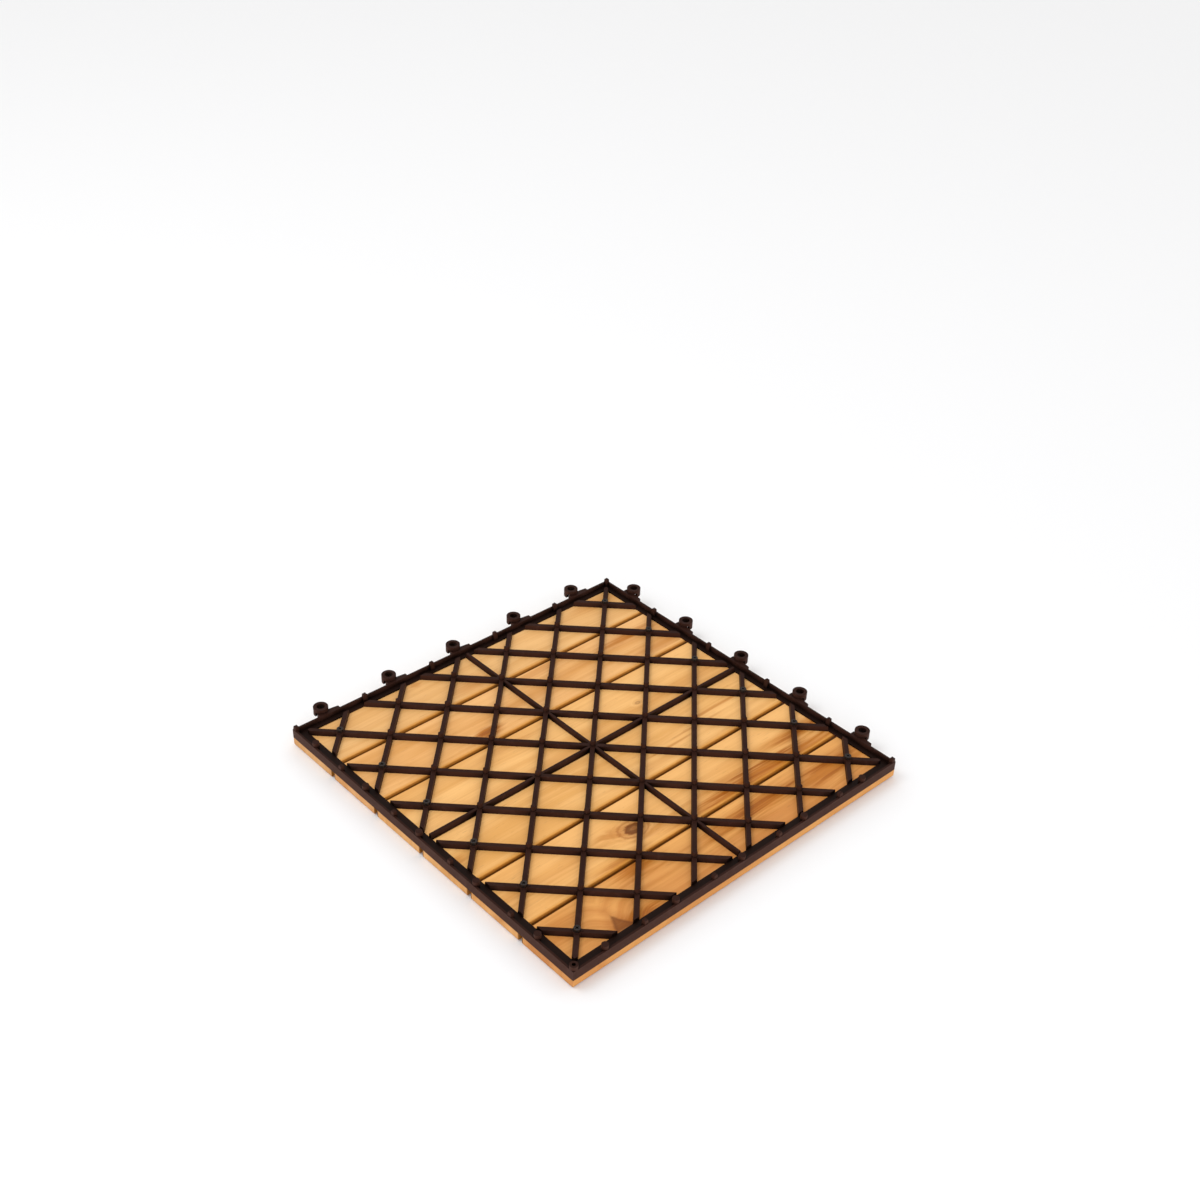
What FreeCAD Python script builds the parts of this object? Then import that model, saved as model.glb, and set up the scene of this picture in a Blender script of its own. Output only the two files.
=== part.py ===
"""Interlocking deck tile lying upturned: wooden slats tread-down, moulded lattice base on top.

Millimetres. Z = 0 is the tread plane and +Z points to the base's feet. Slats run along X.
Sockets stand out of the +X and +Y sides, pegs stand on the -X and -Y sides. Everything is laid out
about the tile's own centre, then moved so that the origin is the middle of the bounding box's bottom.
"""
import math
import os

import FreeCAD
import Part

# Tile and slats
MODULE = 300.0          # centre distance of two joined tiles
SLAT_COUNT = 6
SLAT_PITCH = MODULE / SLAT_COUNT
SLAT_GAP = 3.0
SLAT_WIDTH = SLAT_PITCH - SLAT_GAP
SLAT_LENGTH = MODULE - SLAT_GAP
SLAT_T = 10.6
TREAD_ROUND = 2.0
BACK_ROUND = 0.8
END_EASE = 1.0
SLAT_END = SLAT_LENGTH / 2

# Base heights, all measured from the slats' backs
BASE_H = 7.4            # feet, pegs and sockets end here
FRAME_H = 4.6
RIB_H = 3.8
BOSS_H = 4.2

# Lattice
NODE_PITCH = SLAT_PITCH / 2
NODE_REACH = SLAT_COUNT - 1
RIB_W = 4.0             # at the root
CENTRE_RIB_W = 2.8
RIB_TAPER = 0.12        # loss of half width per millimetre of height
STUB_W = 3.4
STUB_TIP_W = 2.6

# Interlock
PEG_R = 2.4
PEG_CLEARANCE = 0.6     # radial, peg in bore, so that tiles can follow uneven ground
BORE_R = PEG_R + PEG_CLEARANCE
TUBE_R = 5.4
TUBE_OFFSET = 3.2       # socket axis outside the module line, peg axis inside it
SOCKET_AXIS = MODULE / 2 + TUBE_OFFSET
PEG_AXIS = MODULE / 2 - TUBE_OFFSET
JOIN_COUNT = 5
JOIN_MARGIN = 32.0      # module line to the end sockets, before the shift
JOIN_PITCH = (MODULE - 2 * JOIN_MARGIN) / (JOIN_COUNT - 1)
JOIN_SHIFT = 4.0        # counter-clockwise along each side, seen from +Z
ARM_W = 10.2
GUSSET_L = 12.0         # clockwise of the socket axis
GUSSET_TIP = 2.3        # its end stands this far out of the rim
WALL_CLEARANCE = 0.25   # around the neighbour's outer wall
PEG_ROOT_W = 3.4        # square root under the round peg

# Rim: a floor with an upstanding outer wall; a skirt laps the slats on the peg sides
OUTER_WALL = 1.5
TROUGH_FLOOR = 1.2
PEG_RIM_OUT = 1.0       # outer faces on the -X and -Y sides stand out of the slats' ends
SOCKET_RIM_IN = 1.5     # outer faces on the +X and +Y sides stand inside the slats' ends
PEG_RIM = SLAT_END + PEG_RIM_OUT
SOCKET_RIM = SLAT_END - SOCKET_RIM_IN
RIM_CLEARANCE = 0.3             # rim's inner edge to the neighbour's socket
RIM_INNER = PEG_AXIS - TUBE_R - RIM_CLEARANCE
SKIRT_CLEARANCE = 0.1
SKIRT_W = PEG_RIM - SLAT_END - SKIRT_CLEARANCE
SKIRT_DROP = 2.6

# Rim feet
FOOT_COUNT = 4
FOOT_MARGIN = 60.0      # module line to the end feet
FOOT_PITCH = (MODULE - 2 * FOOT_MARGIN) / (FOOT_COUNT - 1)
RING_FOOT_R = 2.8
RING_FOOT_BORE_R = 1.3
POST_W = 3.6
POST_TIP_W = 2.6

# Slat screws
SCREW_X = NODE_REACH * NODE_PITCH
SHANK_R = 1.5
SHANK_SIDES = 8         # plain core in place of the thread
SHANK_CLEARANCE = 0.1   # each side, in the base's square cored hole
SCREW_BITE = 6.5        # depth in the slat
HEAD_R = 2.3
HEAD_H = 1.9
RECESS_L = 2.6
RECESS_W = 0.7
RECESS_D = 1.1
BOSS_W = 6.4
BOSS_TIP_W = 5.6

ROOT_Z = SLAT_T
TOP_Z = SLAT_T + BASE_H
OVERCUT = 1.0
LOW_REACH = -max(PEG_RIM, PEG_AXIS + PEG_R)
HIGH_REACH = SOCKET_AXIS + TUBE_R
ORIGIN_SHIFT = -(LOW_REACH + HIGH_REACH) / 2

JOIN_STATIONS = [JOIN_PITCH * (k - (JOIN_COUNT - 1) / 2) for k in range(JOIN_COUNT)]
FOOT_STATIONS = [FOOT_PITCH * (k - (FOOT_COUNT - 1) / 2) for k in range(FOOT_COUNT)]
SLAT_CENTRES = [SLAT_PITCH * (k - (SLAT_COUNT - 1) / 2) for k in range(SLAT_COUNT)]
UP = FreeCAD.Vector(0, 0, 1)


def vec(x, y, z):
    return FreeCAD.Vector(x, y, z)


def block(x0, x1, y0, y1, z0, z1):
    return Part.makeBox(x1 - x0, y1 - y0, z1 - z0, vec(x0, y0, z0))


def rod(x, y, z0, z1, radius):
    return Part.makeCylinder(radius, z1 - z0, vec(x, y, z0), UP)


def tapered_prism(low, high, z0, z1):
    """Solid between two outlines whose matching edges are parallel, so that every side is flat."""
    bottom = [vec(x, y, z0) for x, y in low]
    top = [vec(x, y, z1) for x, y in high]
    loops = [bottom, top]
    for k in range(len(bottom)):
        loops.append([bottom[k - 1], bottom[k], top[k], top[k - 1]])
    faces = [Part.Face(Part.makePolygon(loop + loop[:1])) for loop in loops]
    solid = Part.Solid(Part.Shell(faces))
    if solid.Volume < 0:
        solid.reverse()
    return solid


def square_post(x, y, z0, z1, root_width, tip_width):
    """Tapered square post, its sides along X and Y."""
    outlines = []
    for width in (root_width, tip_width):
        h = width / 2
        outlines.append([(x - h, y - h), (x + h, y - h), (x + h, y + h), (x - h, y + h)])
    return tapered_prism(outlines[0], outlines[1], z0, z1)


def side_points(stations, across, side):
    """Plan points at a distance from the centre along one side, named by its outward direction."""
    if side == "+X":
        return [(across, s) for s in stations]
    if side == "-X":
        return [(-across, s) for s in stations]
    if side == "+Y":
        return [(s, across) for s in stations]
    return [(s, -across) for s in stations]


def clip(points, nx, ny, limit):
    """Part of a convex outline where nx * x + ny * y is at most the limit."""
    kept = []
    for k, (x1, y1) in enumerate(points):
        x0, y0 = points[k - 1]
        d0 = nx * x0 + ny * y0 - limit
        d1 = nx * x1 + ny * y1 - limit
        if (d0 > 0) != (d1 > 0):
            t = d0 / (d0 - d1)
            kept.append((x0 + t * (x1 - x0), y0 + t * (y1 - y0)))
        if d1 <= 0:
            kept.append((x1, y1))
    return kept


def cell_outline(i, j, half_plane, z):
    """Lattice cell about node (i, j) at one height, between diagonal ribs, centre ribs and frame."""
    rise = z - ROOT_Z
    rib_half = RIB_W / 2 - RIB_TAPER * rise
    centre_half = CENTRE_RIB_W / 2 - RIB_TAPER * rise
    cx = i * NODE_PITCH
    cy = j * NODE_PITCH
    span = 2 * MODULE
    outline = [(-span, -span), (span, -span), (span, span), (-span, span)]
    diag = 1 / math.sqrt(2)
    for nx, ny in ((diag, diag), (diag, -diag), (-diag, diag), (-diag, -diag)):
        outline = clip(outline, nx, ny, nx * cx + ny * cy + NODE_PITCH * diag - rib_half)
    for nx, ny in ((1, 0), (-1, 0), (0, 1), (0, -1)):
        outline = clip(outline, nx, ny, RIM_INNER)
    if half_plane:
        outline = clip(outline, half_plane[0], half_plane[1], -centre_half)
    return outline


def cell_tools():
    """One tapered cutter for every lattice cell."""
    tools = []
    low = ROOT_Z - OVERCUT
    high = ROOT_Z + RIB_H + OVERCUT
    for i in range(-NODE_REACH - 1, NODE_REACH + 2):
        for j in range(-NODE_REACH - 1, NODE_REACH + 2):
            if (i + j) % 2 == 0 or (abs(i) > NODE_REACH and abs(j) > NODE_REACH):
                continue
            halves = [None]
            if i == 0:
                halves = [(1, 0), (-1, 0)]
            if j == 0:
                halves = [(0, 1), (0, -1)]
            for half_plane in halves:
                outlines = [cell_outline(i, j, half_plane, z) for z in (low, high)]
                tools.append(tapered_prism(outlines[0], outlines[1], low, high))
    return tools


def lattice_nodes():
    span = range(-NODE_REACH, NODE_REACH + 1)
    return [(i * NODE_PITCH, j * NODE_PITCH) for i in span for j in span if (i + j) % 2 == 0]


def shank(x, y, z0, z1):
    turns = [2 * math.pi * (k + 0.5) / SHANK_SIDES for k in range(SHANK_SIDES)]
    outline = [(x + SHANK_R * math.cos(t), y + SHANK_R * math.sin(t)) for t in turns]
    return tapered_prism(outline, outline, z0, z1)


def screw_points():
    return [(side * SCREW_X, y) for y in SLAT_CENTRES for side in (-1, 1)]


def rim():
    """Square channel around the lattice; on the peg sides the neighbour's sockets stand in it."""
    top = ROOT_Z + FRAME_H
    floor_z = ROOT_Z + TROUGH_FLOOR
    skirt_z = ROOT_Z - SKIRT_DROP
    low = OUTER_WALL - PEG_RIM
    high = SOCKET_RIM - OUTER_WALL
    frame = block(-PEG_RIM, SOCKET_RIM, -PEG_RIM, SOCKET_RIM, ROOT_Z, top)
    core = block(-RIM_INNER, RIM_INNER, -RIM_INNER, RIM_INNER, ROOT_Z - OVERCUT, top + OVERCUT)
    channel = block(low, high, low, high, floor_z, top + OVERCUT)
    skirt_x = block(-PEG_RIM, SKIRT_W - PEG_RIM, -PEG_RIM, SOCKET_RIM, skirt_z, ROOT_Z)
    skirt_y = block(-PEG_RIM, SOCKET_RIM, -PEG_RIM, SKIRT_W - PEG_RIM, skirt_z, ROOT_Z)
    return frame.cut([core, channel]).fuse([skirt_x, skirt_y])


def socket(x, y, side):
    """Upright tube on a gusseted arm, cut back at its root for the neighbour's slats, wall and floor."""
    arm_half = ARM_W / 2
    wall_low = MODULE - PEG_RIM - WALL_CLEARANCE
    wall_high = MODULE - PEG_RIM + OUTER_WALL + WALL_CLEARANCE
    slot_top = ROOT_Z + FRAME_H + WALL_CLEARANCE
    relief_low = MODULE - SLAT_END - WALL_CLEARANCE
    relief_top = ROOT_Z + TROUGH_FLOOR + WALL_CLEARANCE
    reach = TUBE_R + OVERCUT
    low = ROOT_Z - OVERCUT
    rim_in = SOCKET_RIM - OUTER_WALL
    outline = [(rim_in, -arm_half), (SOCKET_AXIS, -arm_half), (SOCKET_AXIS, arm_half),
               (wall_low, arm_half), (SOCKET_RIM + GUSSET_TIP, GUSSET_L), (rim_in, GUSSET_L)]
    if side == "+X":
        plan = [(out, y - clockwise) for out, clockwise in outline]
        slot = block(wall_low, wall_high, y - reach, y + reach, low, slot_top)
        relief = block(relief_low, x + reach, y - reach, y + reach, low, relief_top)
    else:
        plan = [(x + clockwise, out) for out, clockwise in outline]
        slot = block(x - reach, x + reach, wall_low, wall_high, low, slot_top)
        relief = block(x - reach, x + reach, relief_low, y + reach, low, relief_top)
    arm = tapered_prism(plan, plan, ROOT_Z, ROOT_Z + FRAME_H)
    bore = rod(x, y, low, TOP_Z + OVERCUT, BORE_R)
    return rod(x, y, ROOT_Z, TOP_Z, TUBE_R).fuse(arm).cut([bore, slot, relief])


def peg(x, y):
    wall_top = ROOT_Z + FRAME_H
    root = square_post(x, y, ROOT_Z, wall_top, PEG_ROOT_W, PEG_ROOT_W)
    return root.fuse(rod(x, y, wall_top, TOP_Z, PEG_R))


def ring_foot(x, y):
    bore = rod(x, y, ROOT_Z + TROUGH_FLOOR, TOP_Z + OVERCUT, RING_FOOT_BORE_R)
    return rod(x, y, ROOT_Z, TOP_Z, RING_FOOT_R).cut(bore)


def post(x, y):
    return square_post(x, y, ROOT_Z, TOP_Z, POST_W, POST_TIP_W)


def base():
    """The one-piece moulding: lattice, rim, feet, pegs and sockets."""
    plate = block(-RIM_INNER, RIM_INNER, -RIM_INNER, RIM_INNER, ROOT_Z, ROOT_Z + RIB_H).cut(cell_tools())
    adds = [rim()]
    screws = screw_points()
    for x, y in lattice_nodes():
        if (x, y) not in screws:
            adds.append(square_post(x, y, ROOT_Z, TOP_Z, STUB_W, STUB_TIP_W))
    for x, y in screws:
        adds.append(square_post(x, y, ROOT_Z, ROOT_Z + BOSS_H, BOSS_W, BOSS_TIP_W))
    socket_foot = SOCKET_RIM - POST_W / 2
    peg_foot = PEG_RIM - POST_W / 2
    for side, sign in (("+X", 1), ("+Y", -1)):
        stations = [s + sign * JOIN_SHIFT for s in JOIN_STATIONS]
        for x, y in side_points(stations, SOCKET_AXIS, side):
            adds.append(socket(x, y, side))
        adds += [post(x, y) for x, y in side_points(FOOT_STATIONS, socket_foot, side)]
    for side, sign in (("-X", 1), ("-Y", -1)):
        stations = [s + sign * JOIN_SHIFT for s in JOIN_STATIONS]
        adds += [peg(x, y) for x, y in side_points(stations, PEG_AXIS, side)]
        adds += [post(x, y) for x, y in side_points(FOOT_STATIONS, peg_foot, side)]
    adds += [post(socket_foot, socket_foot), post(socket_foot, -peg_foot), post(-peg_foot, socket_foot)]
    adds.append(ring_foot(RING_FOOT_R - PEG_RIM, RING_FOOT_R - PEG_RIM))
    hole_w = 2 * (SHANK_R + SHANK_CLEARANCE)
    holes = [square_post(x, y, ROOT_Z - OVERCUT, TOP_Z, hole_w, hole_w) for x, y in screws]
    return plate.fuse(adds).cut(holes).removeSplitter()


def slat(y):
    """Board with rounded long edges, eased ends and two blind pilot holes in its back."""
    half = SLAT_WIDTH / 2
    x1 = SLAT_LENGTH / 2
    board = block(-x1, x1, y - half, y + half, 0, SLAT_T)
    long_edges = [e for e in board.Edges if abs(e.BoundBox.XLength - SLAT_LENGTH) < 0.01]
    tread_edges = [e for e in long_edges if e.BoundBox.ZMax < SLAT_T / 2]
    board = board.makeFillet(TREAD_ROUND, tread_edges)
    back_edges = [e for e in board.Edges
                  if abs(e.BoundBox.XLength - SLAT_LENGTH) < 0.01 and e.BoundBox.ZMin > SLAT_T - 0.01]
    board = board.makeFillet(BACK_ROUND, back_edges)
    x0 = x1 - END_EASE
    outline = [vec(-x0, 0, 0), vec(x0, 0, 0), vec(x1, 0, END_EASE), vec(x1, 0, SLAT_T - END_EASE),
               vec(x0, 0, SLAT_T), vec(-x0, 0, SLAT_T), vec(-x1, 0, SLAT_T - END_EASE), vec(-x1, 0, END_EASE)]
    ends = Part.Face(Part.makePolygon(outline + outline[:1]))
    ends.translate(vec(0, y - SLAT_PITCH, 0))
    board = board.common(ends.extrude(vec(0, 2 * SLAT_PITCH, 0)))
    holes = [shank(side * SCREW_X, y, SLAT_T - SCREW_BITE, SLAT_T + OVERCUT) for side in (-1, 1)]
    return board.cut(holes)


def screw(x, y):
    """Pan-head screw, its head resting on the base's boss."""
    seat = ROOT_Z + BOSS_H
    top = seat + HEAD_H
    head = rod(x, y, seat, top, HEAD_R)
    long_half = RECESS_L / 2
    short_half = RECESS_W / 2
    slots = []
    for dx, dy in ((long_half, short_half), (short_half, long_half)):
        slots.append(block(x - dx, x + dx, y - dy, y + dy, top - RECESS_D, top + OVERCUT))
    body = shank(x, y, SLAT_T - SCREW_BITE, seat)
    return head.fuse(body).cut(slots).removeSplitter()


def export(name, shape):
    shape = shape.copy()
    shape.translate(vec(ORIGIN_SHIFT, ORIGIN_SHIFT, 0))
    shape.exportStep("parts/" + name + ".step")
    print(name, len(shape.Solids), "solids", round(shape.Volume, 1), "mm3", shape.isValid())


os.makedirs("parts", exist_ok=True)
export("base", base())
for number, centre in enumerate(SLAT_CENTRES, start=1):
    export("slat_" + str(number), slat(centre))
export("slat_screws", Part.makeCompound([screw(x, y) for x, y in screw_points()]))
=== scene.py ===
"""Looks of the upturned deck tile: wood for each slat, moulded plastic, darkened steel, camera and light."""
import math

import bpy
from mathutils import Matrix, Vector

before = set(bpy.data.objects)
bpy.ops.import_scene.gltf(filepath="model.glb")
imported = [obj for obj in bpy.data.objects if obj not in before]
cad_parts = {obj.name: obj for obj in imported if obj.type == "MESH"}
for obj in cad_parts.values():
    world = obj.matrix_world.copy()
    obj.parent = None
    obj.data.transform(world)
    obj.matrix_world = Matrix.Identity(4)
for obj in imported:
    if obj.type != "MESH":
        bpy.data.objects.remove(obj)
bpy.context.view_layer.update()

# Lengths in metres, colours in linear RGB
SHIFT = -0.00455            # the tile's centre in the row frame, along X and Y
HALF_PITCH = 0.025          # half the distance from one joint between slats to the next
LAST_JOINT = 0.130          # beyond the outermost joint, counted from the tile's centre
TREAD_FADE = 0.0022         # height at which the tread's tones have given way to the back's
ROOT_Z = 0.0107             # just over the slats' backs

HEART = (0.500, 0.160, 0.014)           # reddish heartwood
DARK_HEART = (0.335, 0.082, 0.004)
KNOT = (0.160, 0.040, 0.003)
CLOUD = (0.680, 0.300, 0.082)
FIBRE = (0.610, 0.295, 0.082)
PORE = (0.260, 0.105, 0.030)
# Painted shade in the joints between slats: golden near their top and on one edge, darker deep down
JOINT_GOLD_PAINTED_SHADE = (0.680, 0.280, 0.028)
JOINT_DEEP_PAINTED_SHADE = (0.270, 0.098, 0.006)
END_GRAIN = (0.80, 0.76, 0.78)          # multiplies the colour on the boards' ends

PLASTIC = ((0.0280, 0.0115, 0.0074), (0.0500, 0.0215, 0.0145))
FLOW_MARK = (0.056, 0.027, 0.021)
SCUFF = (0.080, 0.048, 0.040)
# Painted shade in corners and narrow recesses
CORNER_PAINTED_SHADE = (0.0030, 0.0012, 0.0008)
SUNK_FLOOR_SHADE = (0.0135, 0.0055, 0.0036)      # painted shade on the rim's sunk floor
CHANNEL_Z = (0.0130, 0.0122)            # no longer sunk, fully sunk; the painted shade is full at the second
SIDE_FACES_PAINTED_LIGHT = (1.45, 1.35, 1.30)         # painted light and shade: these two multiply the plastic's colour, lighter on side faces and darker on top faces
TOP_FACES_PAINTED_SHADE = (0.72, 0.62, 0.60)
STEEL = ((0.022, 0.016, 0.014), (0.060, 0.048, 0.044))
FLOOR = (0.945, 0.945, 0.947, 1)

# Each slat: its back and tread tones (light, dark), strength of its reddish streaks, seed, patches and knots.
# A patch or knot is x, y, half length, half width from the tile's centre, then its strength, and for a knot
# also the strength of its rings and whether it is a wedge with its point towards +Y.
SLATS = {
    "slat_1": dict(back=((0.858, 0.424, 0.119), (0.643, 0.253, 0.059)),
                   tread=((0.56, 0.25, 0.075), (0.34, 0.12, 0.035)), streak=0.55, seed=3.1,
                   patches=[(-0.058, -0.106, 0.020, 0.008, 1.00), (0.040, -0.117, 0.052, 0.009, 0.95),
                            (0.112, -0.122, 0.040, 0.011, 0.90), (-0.086, -0.138, 0.024, 0.006, 1.00),
                            (-0.132, -0.112, 0.026, 0.009, 0.45), (0.060, -0.142, 0.060, 0.004, 0.40)],
                   knots=[(-0.099, -0.1335, 0.0078, 0.0070, 0.82, 0.0, True)]),
    "slat_2": dict(back=((0.935, 0.512, 0.176), (0.770, 0.363, 0.090)),
                   tread=((0.62, 0.31, 0.105), (0.43, 0.17, 0.050)), streak=0.45, seed=7.7,
                   patches=[(0.085, -0.093, 0.082, 0.0075, 1.00), (0.125, -0.078, 0.036, 0.0075, 0.90),
                            (0.050, -0.083, 0.040, 0.003, 0.55), (-0.060, -0.097, 0.022, 0.004, 0.70),
                            (-0.049, -0.073, 0.012, 0.006, 0.55), (-0.020, -0.088, 0.020, 0.004, 0.45)],
                   knots=[(-0.034, -0.078, 0.0075, 0.0050, 0.85, 0.75, False)]),
    "slat_3": dict(back=((0.940, 0.530, 0.189), (0.775, 0.385, 0.103)),
                   tread=((0.68, 0.37, 0.140), (0.49, 0.22, 0.070)), streak=0.35, seed=12.4,
                   patches=[(0.100, -0.021, 0.040, 0.0016, 0.60), (0.075, -0.028, 0.034, 0.0012, 0.50),
                            (0.045, -0.033, 0.026, 0.0012, 0.55), (-0.141, -0.028, 0.007, 0.004, 0.50),
                            (0.020, -0.040, 0.030, 0.005, 0.25)],
                   knots=[]),
    "slat_4": dict(back=((0.935, 0.526, 0.187), (0.770, 0.376, 0.101)),
                   tread=((0.76, 0.47, 0.195), (0.58, 0.30, 0.105)), streak=0.32, seed=18.9,
                   patches=[(-0.050, 0.040, 0.030, 0.005, 0.28), (0.110, 0.013, 0.040, 0.006, 0.25)],
                   knots=[(0.060, 0.018, 0.0022, 0.0014, 0.35, 0.0, False)]),
    "slat_5": dict(back=((0.924, 0.515, 0.200), (0.759, 0.363, 0.103)),
                   tread=((0.58, 0.26, 0.080), (0.37, 0.13, 0.040)), streak=0.42, seed=25.3,
                   patches=[(0.108, 0.083, 0.034, 0.0050, 0.85), (0.040, 0.094, 0.040, 0.005, 0.40),
                            (-0.044, 0.061, 0.011, 0.0060, 1.00), (0.125, 0.060, 0.026, 0.006, 0.45),
                            (0.000, 0.072, 0.040, 0.006, 0.25)],
                   knots=[]),
    "slat_6": dict(back=((0.880, 0.508, 0.198), (0.743, 0.380, 0.117)),
                   tread=((0.70, 0.40, 0.150), (0.52, 0.25, 0.080)), streak=0.34, seed=31.8,
                   patches=[(-0.016, 0.112, 0.020, 0.009, 0.40), (-0.050, 0.138, 0.004, 0.003, 0.45),
                            (0.122, 0.134, 0.022, 0.006, 0.30)],
                   knots=[]),
}


def nodes_of(name):
    """New material with a Principled shader; gives the material, its node tree and the shader."""
    mat = bpy.data.materials.new(name)
    mat.use_nodes = True
    tree = mat.node_tree
    tree.nodes.clear()
    out = tree.nodes.new("ShaderNodeOutputMaterial")
    bsdf = tree.nodes.new("ShaderNodeBsdfPrincipled")
    tree.links.new(bsdf.outputs["BSDF"], out.inputs["Surface"])
    return mat, tree, bsdf


class Graph:
    """Short calls for shader nodes; a float, a colour or a socket is accepted as any input."""

    def __init__(self, tree):
        self.tree = tree

    def put(self, value, socket):
        if isinstance(value, bpy.types.NodeSocket):
            self.tree.links.new(value, socket)
        elif isinstance(value, tuple) and len(value) == 3 and socket.type == "RGBA":
            socket.default_value = value + (1.0,)
        else:
            socket.default_value = value

    def math(self, op, *values):
        node = self.tree.nodes.new("ShaderNodeMath")
        node.operation = op
        for k, value in enumerate(values):
            self.put(value, node.inputs[k])
        return node.outputs[0]

    def plus(self, a, b):
        return self.math("ADD", a, b)

    def times(self, a, b):
        return self.math("MULTIPLY", a, b)

    def larger(self, a, b):
        return self.math("MAXIMUM", a, b)

    def size_of(self, a):
        return self.math("ABSOLUTE", a)

    def swing(self, noise, amount):
        """A noise about 0.5, moved to swing about zero."""
        return self.times(self.math("SUBTRACT", noise, 0.5), amount)

    def combine(self, x, y, z):
        node = self.tree.nodes.new("ShaderNodeCombineXYZ")
        for k, value in enumerate((x, y, z)):
            self.put(value, node.inputs[k])
        return node.outputs[0]

    def split(self, vector):
        node = self.tree.nodes.new("ShaderNodeSeparateXYZ")
        self.put(vector, node.inputs[0])
        return node.outputs

    def place(self):
        """Coordinates in the row frame, which is every node's own frame too."""
        return self.tree.nodes.new("ShaderNodeTexCoord").outputs["Object"]

    def facing(self):
        return self.split(self.tree.nodes.new("ShaderNodeNewGeometry").outputs["True Normal"])

    def noise(self, vector, scale=1.0, detail=3.0, rough=0.5, distortion=0.0):
        node = self.tree.nodes.new("ShaderNodeTexNoise")
        self.put(vector, node.inputs["Vector"])
        self.put(scale, node.inputs["Scale"])
        self.put(detail, node.inputs["Detail"])
        self.put(rough, node.inputs["Roughness"])
        self.put(distortion, node.inputs["Distortion"])
        return node.outputs["Fac"]

    def span(self, value, low, high, to_low=0.0, to_high=1.0):
        """Smooth step from to_low at low to to_high at high; low may be the larger."""
        node = self.tree.nodes.new("ShaderNodeMapRange")
        node.interpolation_type = "SMOOTHSTEP"
        self.put(value, node.inputs["Value"])
        node.inputs["From Min"].default_value = low
        node.inputs["From Max"].default_value = high
        node.inputs["To Min"].default_value = to_low
        node.inputs["To Max"].default_value = to_high
        return node.outputs["Result"]

    def mix(self, fac, a, b, blend="MIX"):
        node = self.tree.nodes.new("ShaderNodeMix")
        node.data_type = "RGBA"
        node.blend_type = blend
        self.put(fac, node.inputs[0])
        self.put(a, node.inputs[6])
        self.put(b, node.inputs[7])
        return node.outputs[2]

    def bump(self, height, strength, distance):
        node = self.tree.nodes.new("ShaderNodeBump")
        node.inputs["Strength"].default_value = strength
        node.inputs["Distance"].default_value = distance
        self.put(height, node.inputs["Height"])
        return node.outputs["Normal"]


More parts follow.
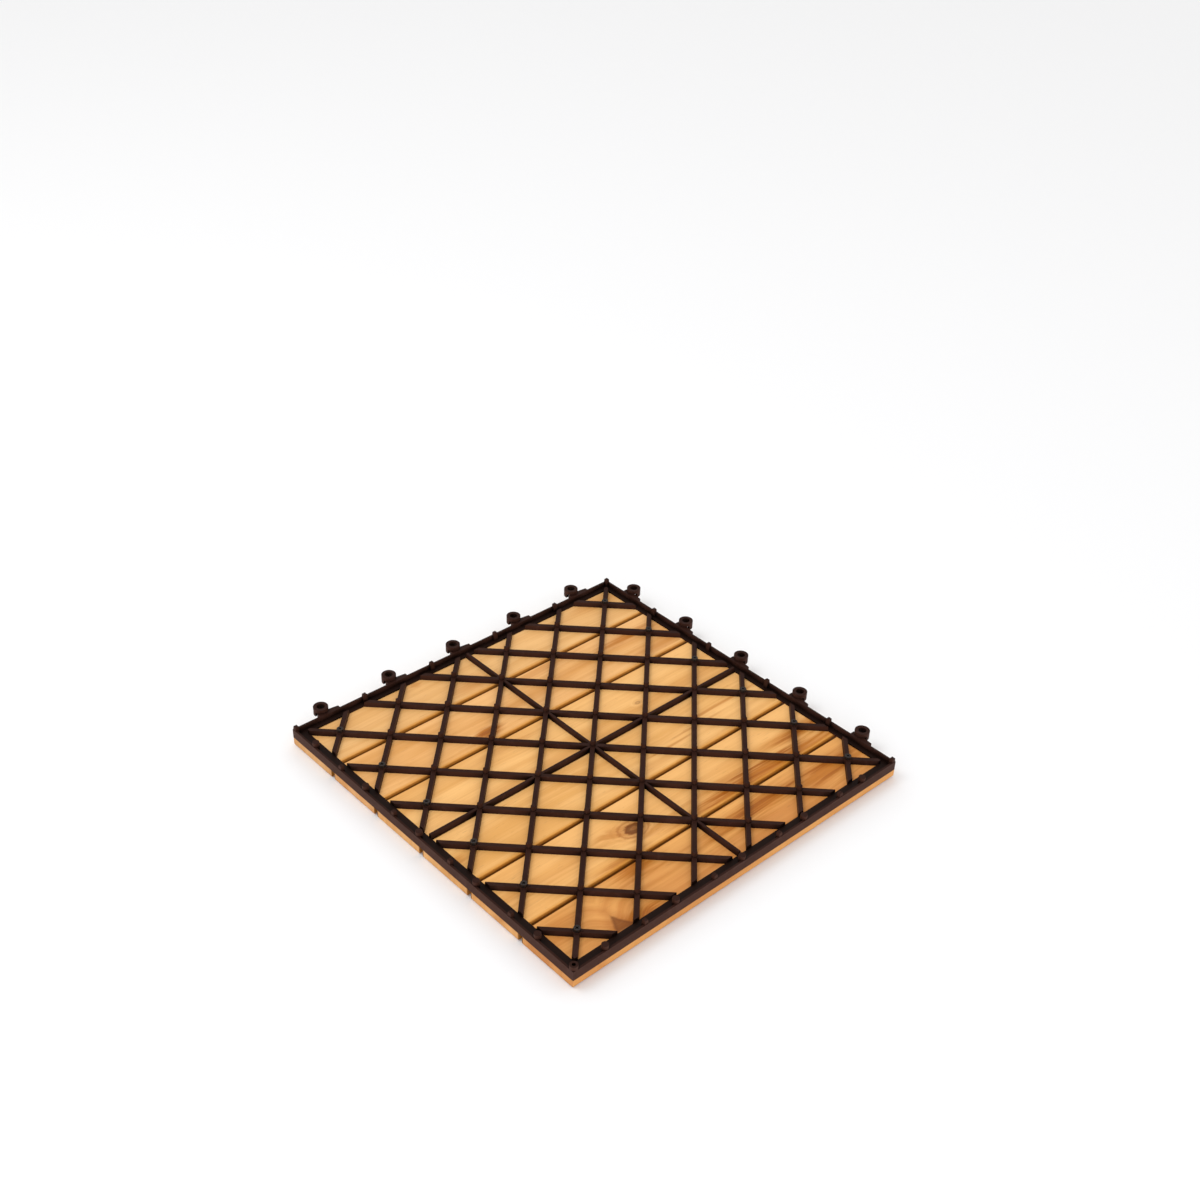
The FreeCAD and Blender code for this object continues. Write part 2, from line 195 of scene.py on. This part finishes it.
def wood(name, back, tread, streak, seed, patches, knots):
    """Flat-sawn hardwood along X: growth figure, fibres, pores, heart patches and ringed knots."""
    mat, tree, bsdf = nodes_of(name + "_wood")
    g = Graph(tree)
    row_x, row_y, z = g.split(g.place())
    x = g.math("SUBTRACT", row_x, SHIFT)
    y = g.math("SUBTRACT", row_y, SHIFT)
    off_middle = g.size_of(y)

    def grain(along, over, depth, offset, detail=3.0, rough=0.5, level=y):
        """Noise stretched along the board; its scales are cycles per metre."""
        lift = g.plus(g.times(z, depth), seed + offset)
        return g.noise(g.combine(g.times(x, along), g.times(level, over), lift), 1.0, detail, rough)

    def reach(spot, wobble, wedge=False):
        """Distance from a spot's middle in its half sizes, roughened by a noise."""
        spot_x, spot_y, half_l, half_w = spot[:4]
        u = g.math("DIVIDE", g.math("SUBTRACT", x, spot_x), half_l)
        v = g.math("DIVIDE", g.math("SUBTRACT", y, spot_y), half_w)
        if wedge:
            slope = g.math("MULTIPLY_ADD", v, 0.5, g.plus(g.size_of(u), 0.5))
            far = g.larger(slope, g.times(v, -1.0))
        else:
            far = g.math("SQRT", g.plus(g.times(u, u), g.times(v, v)))
        return g.plus(far, wobble)

    # Knots push the figure aside and carry rings.
    push = knot = ring = 0.0
    ragged = g.swing(grain(70.0, 150.0, 0.0, 5.0, 4.0, 0.65), 1.3)
    for spot in knots:
        strength, rings, wedge = spot[4:]
        # A wedge is smoother, has a larger middle and is nearly as dark there as at its edge.
        smooth, middle, middle_tone = (0.35, 0.55, 0.80) if wedge else (1.0, 0.15, 0.50)
        far = reach(spot, g.times(ragged, smooth), wedge)
        push = g.plus(push, g.times(g.span(far, 3.6, 0.2), 0.011))
        inside = g.span(far, middle, middle + 0.40, middle_tone * strength, strength)
        knot = g.larger(knot, g.times(g.span(far, 1.15, 0.80), inside))
        turns = g.math("MULTIPLY_ADD", g.math("SINE", g.times(far, 9.0)), 0.5, 0.5)
        ring = g.larger(ring, g.times(turns, g.span(far, 2.6, 1.0, 0.0, rings)))
        ring = g.larger(ring, g.span(far, 2.2, 0.9, 0.0, 0.45 * strength))

    # Noises: some follow the bent growth layers, the finer ones run straight.
    across = g.plus(g.plus(y, g.swing(grain(5.0, 16.0, 0.0, 0.0, 2.0), 0.022)), push)
    figure = grain(4.5, 230.0, 63.0, 0.0, 4.0, 0.6, across)
    broad = grain(5.0, 42.0, 42.0, 40.0, 3.0, 0.5, across)
    red = grain(2.6, 60.0, 60.0, 80.0, 3.0, 0.6, across)
    feather = g.swing(grain(14.0, 330.0, 90.0, 60.0, 4.0, 0.65, across), 2.3)
    fibre = grain(38.0, 1500.0, 1500.0, 0.0, 3.0, 0.6)
    pore = grain(110.0, 1900.0, 1900.0, 0.0, 2.0, 0.5)
    cloud = grain(16.0, 60.0, 60.0, 23.0, 3.0, 0.6)

    # Ground colour, with its own tones on the tread
    tone = g.span(g.plus(g.times(figure, 0.42), g.times(broad, 0.58)), 0.36, 0.66)
    colour = g.mix(g.span(z, 0.0002, TREAD_FADE), g.mix(tone, *tread), g.mix(tone, *back))

    # Heartwood: streaks everywhere and the patches that this board has on its back
    heart = g.times(g.span(red, 0.50, 0.74), streak)
    for spot in patches:
        heart = g.larger(heart, g.span(reach(spot, feather), 1.45, 0.25, 0.0, spot[4]))
    colour = g.mix(heart, colour, HEART)
    core = g.times(g.span(heart, 0.55, 1.0), g.span(figure, 0.46, 0.60, 0.0, 0.75))
    colour = g.mix(core, colour, DARK_HEART)

    # Fine grain, rings and knots
    colour = g.mix(g.times(g.span(cloud, 0.50, 0.78), 0.16), colour, CLOUD)
    colour = g.mix(g.times(g.span(fibre, 0.46, 0.74), 0.20), colour, FIBRE)
    pits = g.times(g.span(pore, 0.66, 0.76), 0.38)
    colour = g.mix(pits, colour, PORE)
    colour = g.mix(ring, colour, DARK_HEART)
    colour = g.mix(knot, colour, KNOT)

    # Painted shade in the joints between slats: golden walls and one golden edge, darker deep down.
    # The edge is the one on each joint's +Y side, where the photograph shows a rounder edge.
    inner = g.span(off_middle, 0.136, LAST_JOINT)
    joint = g.span(g.math("PINGPONG", off_middle, HALF_PITCH), 0.0026, 0.0022)
    wall = g.times(joint, g.span(z, ROOT_Z, 0.0100, 0.0, 0.80))
    beside = g.math("WRAP", y, HALF_PITCH, -HALF_PITCH)
    edge = g.times(g.span(beside, 0.0043, 0.0018, 0.0, 0.62), g.span(beside, 0.0, 0.0005))
    edge = g.times(edge, g.span(z, 0.0070, 0.0085))
    colour = g.mix(g.times(g.larger(wall, edge), inner), colour, JOINT_GOLD_PAINTED_SHADE)
    # Painted shade deep down in the joints
    deep = g.times(g.times(joint, inner), g.span(z, 0.0092, 0.0076, 0.0, 0.90))
    colour = g.mix(deep, colour, JOINT_DEEP_PAINTED_SHADE)

    end = g.span(g.size_of(g.facing()[0]), 0.6, 0.9, 0.0, 0.85)
    g.put(g.mix(end, colour, END_GRAIN, "MULTIPLY"), bsdf.inputs["Base Color"])
    g.put(g.plus(g.times(fibre, 0.16), 0.46), bsdf.inputs["Roughness"])
    bsdf.inputs["Specular IOR Level"].default_value = 0.22
    relief = g.plus(g.times(fibre, 0.6), g.times(figure, 0.4))
    relief = g.math("SUBTRACT", relief, g.times(pits, 1.4))
    g.put(g.bump(relief, 0.35, 0.00025), bsdf.inputs["Normal"])
    return mat


def plastic(name):
    """Dark brown semi-matt moulding: cloudy colour, flow marks, rubbed spots, fine grain; painted light and
    shade: lighter side faces, darker top faces, darker sunk floor and corners.
    """
    mat, tree, bsdf = nodes_of(name)
    g = Graph(tree)
    coord = g.place()
    cloud = g.noise(coord, 38.0, 3.0, 0.55)
    grain = g.noise(coord, 2600.0, 2.0, 0.5)
    scuff = g.noise(coord, 240.0, 4.0, 0.65)
    flow = g.noise(coord, 90.0, 2.0, 0.5, 1.5)
    colour = g.mix(cloud, *PLASTIC)
    colour = g.mix(g.times(g.span(flow, 0.52, 0.72), 0.45), colour, FLOW_MARK)
    colour = g.mix(g.times(g.span(scuff, 0.60, 0.80), 0.35), colour, SCUFF)

    # Painted light and shade: side faces made lighter and top faces darker
    up = g.span(g.facing()[2], 0.4, 0.9)
    painted_lit_sides = g.mix(1.0, colour, SIDE_FACES_PAINTED_LIGHT, "MULTIPLY")
    painted_shaded_tops = g.mix(1.0, colour, TOP_FACES_PAINTED_SHADE, "MULTIPLY")
    colour = g.mix(up, painted_lit_sides, painted_shaded_tops)
    # Painted shade on the rim's sunk floor: up-facing faces low down go darker
    sunk = g.times(up, g.span(g.split(coord)[2], *CHANNEL_Z))
    colour = g.mix(sunk, colour, SUNK_FLOOR_SHADE)

    # Painted shade: the colour goes towards near-black in corners, creases and narrow recesses, by ambient
    # occlusion
    shade = tree.nodes.new("ShaderNodeAmbientOcclusion")
    shade.samples = 8
    shade.inputs["Distance"].default_value = 0.010
    open_sky = g.span(shade.outputs["AO"], 0.20, 0.90)
    g.put(g.mix(open_sky, CORNER_PAINTED_SHADE, colour), bsdf.inputs["Base Color"])
    g.put(g.plus(g.times(scuff, 0.20), 0.36), bsdf.inputs["Roughness"])
    bsdf.inputs["Specular IOR Level"].default_value = 0.05
    g.put(g.bump(grain, 0.22, 0.00008), bsdf.inputs["Normal"])
    return mat


def steel(name):
    """Blackened steel screw with a slightly streaked, worn coating."""
    mat, tree, bsdf = nodes_of(name)
    g = Graph(tree)
    patch = g.noise(g.place(), 700.0, 3.0, 0.6)
    g.put(g.mix(patch, *STEEL), bsdf.inputs["Base Color"])
    bsdf.inputs["Metallic"].default_value = 0.85
    g.put(g.plus(g.times(patch, 0.30), 0.34), bsdf.inputs["Roughness"])
    g.put(g.bump(patch, 0.15, 0.00005), bsdf.inputs["Normal"])
    return mat


def dress(node, mat):
    """Give one CAD node its material in every slot."""
    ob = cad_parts[node]
    if not ob.material_slots:
        ob.data.materials.append(mat)
    for slot in ob.material_slots:
        slot.material = mat
    return ob


for slat, looks in SLATS.items():
    dress(slat, wood(slat, **looks))
base = dress("base", plastic("base_plastic"))
screws = dress("slat_screws", steel("screw_steel"))

for piece, width in ((base, 0.00030), (screws, 0.00035)):
    ease = piece.modifiers.new("edge_ease", "BEVEL")
    ease.width = width
    ease.segments = 2
    ease.limit_method = "ANGLE"
    ease.angle_limit = math.radians(50)

# Floor
bpy.ops.mesh.primitive_plane_add(size=60.0, location=(0, 0, 0))
floor = bpy.context.object
floor.name = "floor"
floor_mat, _, floor_bsdf = nodes_of("floor")
floor_bsdf.inputs["Base Color"].default_value = FLOOR
floor_bsdf.inputs["Roughness"].default_value = 0.8
floor_bsdf.inputs["Specular IOR Level"].default_value = 0.15
floor.data.materials.append(floor_mat)

# Camera, as fitted to the photograph: azimuth, elevation and roll of its line of sight, place and lens
AZ = math.radians(46.80)
EL = math.radians(33.96)
ROLL = math.radians(-1.92)
PLACE = Vector((-0.5825 + SHIFT, -0.6227 + SHIFT, 0.6956 + 0.0144))
LENS_MM = 47.28
ahead = Vector((math.cos(EL) * math.cos(AZ), math.cos(EL) * math.sin(AZ), -math.sin(EL)))
level_right = Vector((math.sin(AZ), -math.cos(AZ), 0))
level_down = ahead.cross(level_right)
right = math.cos(ROLL) * level_right + math.sin(ROLL) * level_down
down = -math.sin(ROLL) * level_right + math.cos(ROLL) * level_down
turn = Matrix((right, -down, -ahead)).transposed().to_4x4()
cam_data = bpy.data.cameras.new("camera")
cam_data.sensor_width = 36.0
cam_data.lens = LENS_MM
cam_data.clip_start = 0.01
cam = bpy.data.objects.new("camera", cam_data)
cam.matrix_world = Matrix.Translation(PLACE) @ turn
scene = bpy.context.scene
scene.collection.objects.link(cam)
scene.camera = cam


def lamp(name, place, size, power, colour=(1, 1, 1)):
    """Round area lamp that points at the origin."""
    data = bpy.data.lights.new(name, "AREA")
    data.shape = "DISK"
    data.size = size
    data.energy = power
    data.color = colour
    ob = bpy.data.objects.new(name, data)
    ob.location = place
    ob.rotation_euler = (-Vector(place)).to_track_quat("-Z", "Y").to_euler()
    scene.collection.objects.link(ob)


lamp("key", (-0.9, 0.5, 1.9), 1.0, 9.5)
lamp("front", (-1.3, -1.5, 0.55), 0.7, 5.0, (0.86, 0.84, 1.0))

world = bpy.data.worlds.new("soft_white")
world.use_nodes = True
background = world.node_tree.nodes["Background"]
background.inputs["Color"].default_value = (1, 1, 1, 1)
background.inputs["Strength"].default_value = 0.92
scene.world = world

scene.view_settings.view_transform = "Standard"
